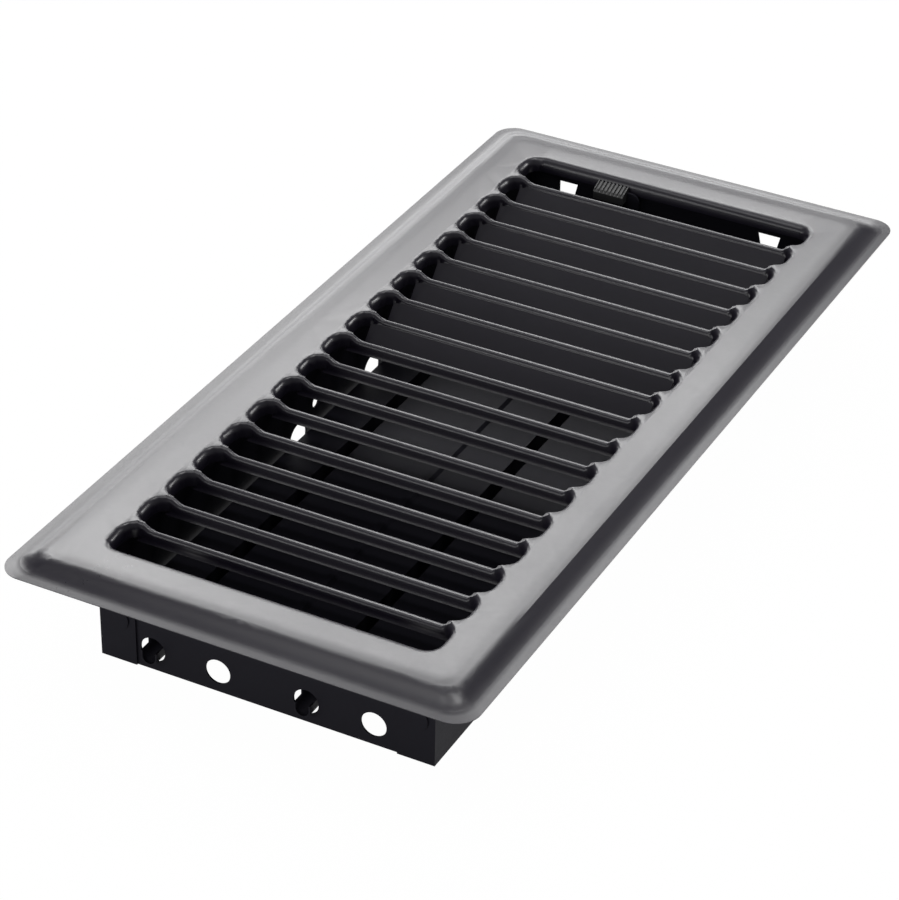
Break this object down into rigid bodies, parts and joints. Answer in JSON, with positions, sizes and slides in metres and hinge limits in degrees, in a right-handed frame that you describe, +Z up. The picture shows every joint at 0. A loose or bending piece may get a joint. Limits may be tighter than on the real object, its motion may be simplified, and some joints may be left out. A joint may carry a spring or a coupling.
{
  "type": "louvred floor register",
  "caption": "Stepped steel floor register with rows of fixed air louvres, a damper box below, two damper blades on one link bar and a ribbed thumb knob in the last slot.",
  "frame": {"origin": "under the middle of the face, level with the lower edge of the damper box", "axes": "+Y along the long side of the face towards the end with the thumb knob, +X across the face to the right of a person who looks along +Y, +Z up out of the face"},
  "size_m": [0.1386, 0.2924, 0.0351],
  "materials": {
    "plate_paint": "satin",
    "box_paint": "satin",
    "knob_plastic": "matte",
    "rivet_steel": "plain"
  },
  "bodies": {
    "housing": {"faceplate": "plate_paint", "left_side_wall": "box_paint", "right_side_wall": "box_paint", "front_end_wall": "box_paint", "back_end_wall": "box_paint"},
    "damper_left": {"damper_blade_left": "box_paint", "link_pin_left": "rivet_steel"},
    "damper_right": {"damper_blade_right": "box_paint", "link_pin_right": "rivet_steel"},
    "link": {"link_bar": "box_paint", "thumb_knob": "knob_plastic"}
  },
  "joints": [
    {"name": "damper_left_turn", "type": "hinge", "parent": "housing", "child": "damper_left", "pos_m": [-0.0344, 0, 0.00518], "axis": [0, 1, 0], "range_deg": [0, 45]},
    {"name": "damper_right_turn", "type": "hinge", "parent": "housing", "child": "damper_right", "pos_m": [0.0122, 0, 0.00518], "axis": [0, 1, 0], "range_deg": [0, 45]},
    {"name": "link_turn", "type": "hinge", "parent": "damper_left", "child": "link", "pos_m": [-0.03937, 0.1239, 0.01719], "axis": [0, 1, 0], "range_deg": [-45, 0]}
  ],
  "couplings": [
    {"joint": "damper_right_turn", "follows": "damper_left_turn", "ratio": 1},
    {"joint": "link_turn", "follows": "damper_left_turn", "ratio": -1}
  ]
}
